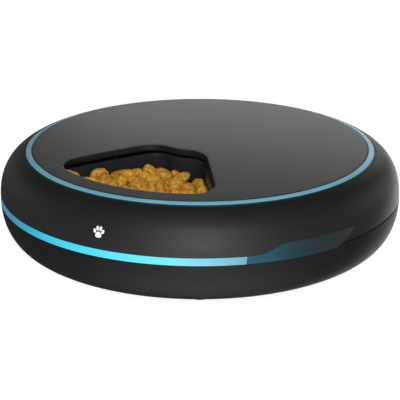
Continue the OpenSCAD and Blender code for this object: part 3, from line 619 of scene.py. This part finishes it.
def cube_sphere(cells):
    """Points and quads of a sphere made from a cube whose sides are split evenly by angle."""
    index, points, faces = {}, [], []
    steps = np.tan(np.linspace(-math.pi / 4, math.pi / 4, cells + 1))
    for axis in range(3):
        for side in (-1, 1):
            grid = {}
            for i in range(cells + 1):
                for j in range(cells + 1):
                    p = np.zeros(3)
                    p[axis], p[(axis + 1) % 3], p[(axis + 2) % 3] = side, steps[i], steps[j]
                    key = tuple(np.round(p, 5))
                    if key not in index:
                        index[key] = len(points)
                        points.append(p / np.linalg.norm(p))
                    grid[i, j] = index[key]
            for i in range(cells):
                for j in range(cells):
                    quad = (grid[i, j], grid[i + 1, j], grid[i + 1, j + 1], grid[i, j + 1])
                    faces.append(quad if side > 0 else quad[::-1])
    return np.array(points), faces


COARSE, FINE = cube_sphere(4), cube_sphere(10)
# least and greatest half sizes of each kind of nugget, in millimetres
LUMP = ((6.6, 5.4, 4.6), (8.6, 7.0, 6.0))
DISC = ((7.0, 6.4, 3.9), (9.0, 8.0, 4.9))
BEAN = ((8.4, 4.6, 4.2), (10.4, 5.8, 5.2))
LUMP_SHARE, DISC_SHARE = 0.25, 0.40
BULGES = 10


def nugget(seed, ball):
    """One piece of dry food, made from a ball of points: a lump, a dimpled disc or a bent bean."""
    rng = np.random.default_rng(seed)
    p = ball.copy()
    kind = rng.random()
    if kind < LUMP_SHARE:
        p *= rng.uniform(*LUMP)
    elif kind < LUMP_SHARE + DISC_SHARE:
        size = rng.uniform(*DISC)
        across = np.hypot(p[:, 0], p[:, 1])
        p[:, 2] *= 1 - rng.uniform(0.6, 0.92) * np.exp(-((across / 0.42) ** 2))
        p *= size
    else:
        p *= rng.uniform(*BEAN)
        p[:, 1] += rng.uniform(0.03, 0.055) * p[:, 0] ** 2
        p[:, 1] -= p[:, 1].mean()
    for _ in range(BULGES):
        direction = rng.normal(size=3)
        direction /= np.linalg.norm(direction)
        bulge = np.exp(-((ball @ direction - 0.75) ** 2) / 0.06)
        p *= (1 + rng.uniform(-0.09, 0.06) * bulge)[:, None]
    return p * MM


def crusted(points, seed):
    """Roughens a nugget with the lumps, pits and crumbs of a baked crust."""
    shift = Vector((seed * 3.7, seed * 1.3, 0))
    lumps = [field.fractal(Vector(p / MM) * 0.28 + shift, 0.7, 2.3, 4) for p in points]
    crumbs = [abs(field.noise(Vector(p / MM) * 1.15 + shift)) for p in points]
    return points * (1 + 0.07 * np.array(lumps) - 0.09 * np.array(crumbs))[:, None]


HEAP_COUNT = 205
BURIED_Z = TRAY_FLOOR_Z + 16 * MM
HIDDEN_TOP = TRAY_RIM_Z - 4 * MM
LID_CLEARANCE = 0.4 * MM
SIM_SCALE = 100.0
SIM_FRAMES = 150
SIM_GRAVITY = (2.0, 0, -70.0)
VARIANT_GAP = 30.0
WALL_THICK, WALL_TALL = 20 * MM, 60 * MM
WALL_MID_R, SIDE_HALF, HUB_HALF, RIM_HALF = 80 * MM, 90 * MM, 60 * MM, 30 * MM
RIM_WALLS = 7
WALL_GRIP, FOOD_GRIP = 0.45, 0.55
FIRST_DROP, DROP_STEP = 12 * MM, 20 * MM
# one layer of the drop, as (radius, number of nuggets) over an angle of DROP_HALF to each side
DROP_ROWS = ((62 * MM, 3), (84 * MM, 4), (106 * MM, 6))
DROP_HALF = math.radians(27)
# the settled heap in each compartment, from the open one on, as (variant, mirrored)
HEAPS = ((0, False), (1, False), (0, True), (1, False), (1, True))


def pocket_walls():
    """Thick boxes round one compartment for the simulation, as (centre, half sizes, turn about Z)."""
    side_turn = math.pi / POCKETS
    thick, tall = WALL_THICK, WALL_TALL
    walls = [
        ((WALL_MID_R, 0, TRAY_FLOOR_Z - thick), (SIDE_HALF, SIDE_HALF, thick), 0.0),
        ((POCKET_HUB_R - thick, 0, TRAY_FLOOR_Z), (thick, HUB_HALF, tall), 0.0),
    ]
    for sign in (-1, 1):
        turn = sign * side_turn
        out = np.array([math.cos(turn), math.sin(turn)])
        away = np.array([-math.sin(turn), math.cos(turn)]) * sign
        mid = out * WALL_MID_R + away * (thick - DIVIDER / 2)
        walls.append(((*mid, TRAY_FLOOR_Z), (SIDE_HALF, thick, tall), turn))
    for turn in np.linspace(-side_turn, side_turn, RIM_WALLS):
        mid = np.array([math.cos(turn), math.sin(turn)]) * (POCKET_R + thick)
        walls.append(((*mid, TRAY_FLOOR_Z), (thick, RIM_HALF, tall), turn))
    return walls


def solid(name, points, faces):
    mesh = bpy.data.meshes.new(name)
    mesh.from_pydata([tuple(p) for p in points], [], faces)
    made = bpy.data.objects.new(name, mesh)
    scene.collection.objects.link(made)
    return made


def drop_places(count):
    """Where each nugget starts: in layers, row by row."""
    layer_places = [
        (radius, ((k + 0.5) / number - 0.5) * 2 * DROP_HALF)
        for radius, number in DROP_ROWS
        for k in range(number)
    ]
    for k in range(count):
        layer, slot = divmod(k, len(layer_places))
        radius, turn = layer_places[slot]
        height = TRAY_FLOOR_Z + FIRST_DROP + DROP_STEP * layer
        yield Vector((radius * math.cos(turn), radius * math.sin(turn), height))


def settle(variants, frames):
    """Drops each variant's nuggets into its own copy of a compartment and returns where they rest."""
    bpy.ops.rigidbody.world_add()
    world = scene.rigidbody_world
    world.substeps_per_frame = 6
    world.solver_iterations = 20
    world.point_cache.frame_start = 1
    world.point_cache.frame_end = frames
    scene.frame_start, scene.frame_end = 1, frames
    # gravity leans outwards a little, which leaves each heap higher at its outer side
    scene.gravity = SIM_GRAVITY
    made, moving = [], []
    corners = [(x, y, z) for x in (-1, 1) for y in (-1, 1) for z in (-1, 1)]
    sides = [(0, 1, 3, 2), (4, 6, 7, 5), (0, 4, 5, 1), (2, 3, 7, 6), (0, 2, 6, 4), (1, 5, 7, 3)]

    def give(thing, kind, shape, friction):
        bpy.context.view_layer.objects.active = thing
        bpy.ops.rigidbody.object_add()
        body = thing.rigid_body
        body.type = kind
        body.collision_shape = shape
        body.friction = friction
        body.restitution = 0.0
        body.use_margin = True
        body.collision_margin = 0.01
        if kind == "ACTIVE":
            body.mass = 1.0
            body.linear_damping = 0.15
            body.angular_damping = 0.3

    for index, shapes in enumerate(variants):
        shift = Vector((0, VARIANT_GAP * index, 0))
        for centre, half, turn in pocket_walls():
            box = solid("wall", np.array(corners) * half * SIM_SCALE, sides)
            box.location = Vector(centre) * SIM_SCALE + shift
            box.rotation_euler = (0, 0, turn)
            made.append(box)
            give(box, "PASSIVE", "BOX", WALL_GRIP)
        rng = np.random.default_rng(40 + index)
        mine = []
        for shape, place in zip(shapes, drop_places(len(shapes))):
            item = solid("nugget", shape * SIM_SCALE, COARSE[1])
            item.location = place * SIM_SCALE + shift
            item.rotation_euler = tuple(rng.uniform(0, 2 * math.pi, 3))
            made.append(item)
            give(item, "ACTIVE", "CONVEX_HULL", FOOD_GRIP)
            mine.append(item)
        moving.append((mine, shift))
    for number in range(1, frames + 1):
        scene.frame_set(number)
    found = []
    depsgraph = bpy.context.evaluated_depsgraph_get()
    for mine, shift in moving:
        poses = []
        for item in mine:
            matrix = np.array(item.evaluated_get(depsgraph).matrix_world)
            matrix[:3, 3] -= np.array(shift)
            poses.append((matrix[:3, :3], matrix[:3, 3] / SIM_SCALE))
        found.append(poses)
    bpy.ops.rigidbody.world_remove()
    for item in made:
        mesh = item.data
        bpy.data.objects.remove(item)
        bpy.data.meshes.remove(mesh)
    scene.frame_set(1)
    scene.gravity = (0, 0, -9.81)
    return found


def build_kibble():
    """Fills each compartment with one of two settled heaps."""
    seeds = [[1000 * variant + k for k in range(HEAP_COUNT)] for variant in range(2)]
    hulls = [[nugget(seed, COARSE[0]) for seed in row] for row in seeds]
    settled = settle(hulls, SIM_FRAMES)
    # buried pieces stay coarse, and those near the top get the crust in full
    shapes = [
        [
            (hull, COARSE[1])
            if place[2] < BURIED_Z
            else (crusted(nugget(seed, FINE[0]), seed), FINE[1])
            for seed, hull, (_, place) in zip(*sets)
        ]
        for sets in zip(seeds, hulls, settled)
    ]
    for pocket, (variant, mirror) in enumerate(HEAPS):
        turn = OPENING_AZ + pocket * 2 * math.pi / POCKETS
        c, s = math.cos(turn), math.sin(turn)
        points, faces, shade = [], [], []
        rng = np.random.default_rng(90 + pocket)
        first = 0
        for (shape, sides), (matrix, place) in zip(shapes[variant], settled[variant]):
            p = shape @ matrix.T + place
            ceiling = dome_z(np.hypot(p[:, 0], p[:, 1]), LIP_DEPTH + LID_CLEARANCE)
            if (p[:, 2] > ceiling).any():
                continue
            if np.hypot(*place[:2]) > POCKET_R or place[2] < TRAY_FLOOR_Z:
                continue
            # the closed compartments are filled a little lower, clear of the gap under the lid
            if pocket > 0 and p[:, 2].max() > HIDDEN_TOP:
                continue
            if mirror:
                p = p * [1, -1, 1]
            p = np.column_stack([p[:, 0] * c - p[:, 1] * s, p[:, 0] * s + p[:, 1] * c, p[:, 2]])
            points.append(p)
            for face in sides:
                face = face[::-1] if mirror else face
                faces.append(tuple(first + v for v in face))
            shade += [rng.random()] * len(p)
            first += len(p)
        heap = piece(f"kibble_{pocket + 1}", np.concatenate(points), faces, kibble_food, "tray", 80)
        tone = heap.data.attributes.new("tone", "FLOAT", "POINT")
        tone.data.foreach_set("value", np.array(shade, np.float32))


def food_material():
    """Baked dry food: mottled brown that changes a little from nugget to nugget, with a rough crust."""
    made = bpy.data.materials.new("kibble_food")
    made.use_nodes = True
    tree = made.node_tree
    shader = tree.nodes["Principled BSDF"]
    place = tree.nodes.new("ShaderNodeTexCoord").outputs["Object"]
    mottle = noise(tree, place, 420, 6.0, 0.72)
    base = ramp(
        tree,
        mottle,
        [
            (0.28, (0.26, 0.075, 0.007)),
            (0.40, (0.58, 0.245, 0.022)),
            (0.53, (0.88, 0.46, 0.046)),
            (0.70, (1.0, 0.66, 0.14)),
        ],
    )
    tone = tree.nodes.new("ShaderNodeAttribute")
    tone.attribute_name = "tone"
    tints = [(0.0, (0.78, 0.70, 0.62)), (0.4, (0.95, 0.93, 0.9)), (1.0, (1.0, 1.0, 1.0))]
    tint = ramp(tree, tone.outputs["Fac"], tints)
    mix = tree.nodes.new("ShaderNodeMix")
    mix.data_type = "RGBA"
    mix.blend_type = "MULTIPLY"
    mix.inputs["Factor"].default_value = 1.0
    tree.links.new(base, mix.inputs["A"])
    tree.links.new(tint, mix.inputs["B"])
    tree.links.new(mix.outputs["Result"], shader.inputs["Base Color"])
    tree.links.new(spread(tree, noise(tree, place, 500, 4.0), 0.5, 0.72), shader.inputs["Roughness"])
    crumbs = noise(tree, place, 650, 6.0, 0.7)
    crust = node_of(tree, "ShaderNodeBump", Strength=1.0, Distance=0.25 * MM, Height=crumbs)
    tree.links.new(crust.outputs["Normal"], shader.inputs["Normal"])
    shader.inputs["Specular IOR Level"].default_value = 0.35
    shader.inputs["Subsurface Weight"].default_value = 0.08
    shader.inputs["Subsurface Radius"].default_value = (0.003, 0.0015, 0.0005)
    return made


kibble_food = food_material()
build_kibble()

# ------------------------------------------------------------------ printed paw on the casing


PAW_AZ, PAW_Z = math.radians(-117), 57.6 * MM
PAW_SLOPE = 0.97
INK = 0.05 * MM
PAD_RINGS, PAD_SIDES = 5, 40
# pads of the paw in millimetres: place across, place up, half width, half height, and tilt in degrees
PADS = (
    (0.0, -1.5, 2.5, 2.1, 0.0),
    (-3.3, 0.9, 1.05, 1.5, 22),
    (-1.25, 2.9, 1.1, 1.6, 8),
    (1.25, 2.9, 1.1, 1.6, -8),
    (3.3, 0.9, 1.05, 1.5, -22),
)


def pad_point(pad, share, turn, lift):
    """A point of a pad at a share of its half size, lifted off the casing's curve."""
    x0, y0, half_w, half_h, tilt = pad
    tilt = math.radians(tilt)
    u, v = half_w * share * math.cos(turn), half_h * share * math.sin(turn)
    if pad is PADS[0]:
        v -= 0.45 * share * math.cos(turn) ** 2
    x = x0 + u * math.cos(tilt) - v * math.sin(tilt)
    y = y0 + u * math.sin(tilt) + v * math.cos(tilt)
    z = PAW_Z + y * MM * PAW_SLOPE
    r = float(upper_r(z)) + lift
    az = PAW_AZ + x * MM / r
    return r * math.cos(az), r * math.sin(az), z


def build_paw():
    """A small paw print in ink on the casing's left front, following its curve."""
    points, faces = [], []
    for pad in PADS:
        for lift in (INK, -INK):
            first = len(points)
            for ring_no in range(PAD_RINGS + 1):
                # the outermost ring of the top meets the casing
                height = 0.0 if ring_no == PAD_RINGS and lift > 0 else lift
                for k in range(PAD_SIDES):
                    turn = 2 * math.pi * k / PAD_SIDES
                    points.append(pad_point(pad, ring_no / PAD_RINGS, turn, height))
            for ring_no in range(PAD_RINGS):
                for k in range(PAD_SIDES):
                    row = first + ring_no * PAD_SIDES
                    a, b = row + k, row + (k + 1) % PAD_SIDES
                    quad = (a, a + PAD_SIDES, b + PAD_SIDES, b)
                    faces.append(quad if lift > 0 else quad[::-1])
    paw = piece("paw_print", points, faces, ink_white, "casing", 60)


build_paw()

# ------------------------------------------------------------------ floor, light and camera


FLOOR_REACH = 12.0
FLOOR_GREY, FLOOR_GLOW = 0.5, 0.9
SKY_STRENGTH = 0.75
CAMERA_PLACE = (0, -1.00894, 0.39872)
CAMERA_AIM = (0, 0, 0.03077)
CAMERA_LENS = 118.74
# world brightness by the sine of the height above the horizon
SKY = ((-1.0, 0.12), (-0.06, 0.2), (0.0, 0.62), (0.12, 0.5), (0.35, 0.12), (0.8, 0.07))
# glows below the horizon, which only reflections see, as the floor is hidden from those alone:
# direction, the cosines of the angle to it at which the glow starts and is full, and strength
GLOWS = (((0, -0.60, -0.80), 0.68, 0.97, 4.8), ((0.36, 0.86, -0.36), 0.85, 0.99, 4.0))
# lamps: name, place, aim, width, height, watts
LAMPS = (
    ("back", (0.42, 2.3, 0.62), (0, 0, 0.05), 1.8, 0.7, 7.2),
    ("right", (2.1, 1.0, 0.62), (0, 0, 0.05), 1.2, 0.7, 2.8),
    ("left", (-2.2, 0.9, 0.9), (0, 0, 0.05), 0.9, 0.7, 1.4),
    ("front_low", (0.02, -1.9, 0.12), (0, 0, 0.04), 0.9, 0.2, 17),
    ("front_high", (0.0, -1.7, 1.1), (0, 0, 0.04), 1.0, 0.6, 20),
    ("top", (-0.15, -0.55, 1.6), (-0.04, -0.06, 0.06), 0.8, 0.8, 2.0),
)


def aimed(name, data, place, aim):
    """Adds a lamp or a camera that looks at a point."""
    made = bpy.data.objects.new(name, data)
    made.location = place
    made.rotation_euler = (Vector(aim) - Vector(place)).to_track_quat("-Z", "Y").to_euler()
    scene.collection.objects.link(made)
    return made


def build_floor():
    floor_mesh = bpy.data.meshes.new("floor")
    corners = [(x * FLOOR_REACH, y * FLOOR_REACH, 0) for x, y in ((-1, -1), (1, -1), (1, 1), (-1, 1))]
    floor_mesh.from_pydata(corners, [], [(0, 1, 2, 3)])
    floor = bpy.data.objects.new("floor", floor_mesh)
    scene.collection.objects.link(floor)
    # the casing mirrors the darker lower half of the world in place of the bright floor
    floor.visible_glossy = False
    pale = bpy.data.materials.new("floor_pale")
    pale.use_nodes = True
    shader = pale.node_tree.nodes["Principled BSDF"]
    shader.inputs["Base Color"].default_value = (FLOOR_GREY, FLOOR_GREY, FLOOR_GREY, 1)
    shader.inputs["Roughness"].default_value = 0.9
    shader.inputs["Specular IOR Level"].default_value = 0.1
    shader.inputs["Emission Color"].default_value = (1, 1, 1, 1)
    shader.inputs["Emission Strength"].default_value = FLOOR_GLOW
    floor_mesh.materials.append(pale)


def build_world():
    world = bpy.data.worlds.new("studio")
    scene.world = world
    world.use_nodes = True
    tree = world.node_tree
    back = tree.nodes["Background"]
    sky = tree.nodes.new("ShaderNodeTexCoord").outputs["Generated"]
    height = node_of(tree, "ShaderNodeSeparateXYZ", Vector=sky).outputs["Z"]
    stops = [((sine + 1) / 2, (shade,) * 3) for sine, shade in SKY]
    colour = ramp(tree, remap(tree, height, -1.0, 1.0), stops)
    below = remap(tree, height, 0.0, -0.05)
    for direction, low, high, glow in GLOWS:
        share = tree.nodes.new("ShaderNodeMath")
        share.operation = "MULTIPLY"
        tree.links.new(along(direction, low, high)(tree, sky), share.inputs[0])
        tree.links.new(below, share.inputs[1])
        mix = tree.nodes.new("ShaderNodeMix")
        mix.data_type = "RGBA"
        tree.links.new(share.outputs["Value"], mix.inputs["Factor"])
        tree.links.new(colour, mix.inputs["A"])
        mix.inputs["B"].default_value = (glow, glow, glow, 1)
        colour = mix.outputs["Result"]
    tree.links.new(colour, back.inputs["Color"])
    back.inputs["Strength"].default_value = SKY_STRENGTH


def build_lamps():
    for name, place, aim, width, height, watts in LAMPS:
        data = bpy.data.lights.new(name, "AREA")
        data.shape = "RECTANGLE"
        data.size, data.size_y = width, height
        data.energy = watts
        aimed(name, data, place, aim).visible_camera = False


build_floor()
build_world()
build_lamps()
view = bpy.data.cameras.new("camera")
view.lens = CAMERA_LENS
view.sensor_width = 36
scene.camera = aimed("camera", view, CAMERA_PLACE, CAMERA_AIM)
scene.view_settings.view_transform = "Standard"
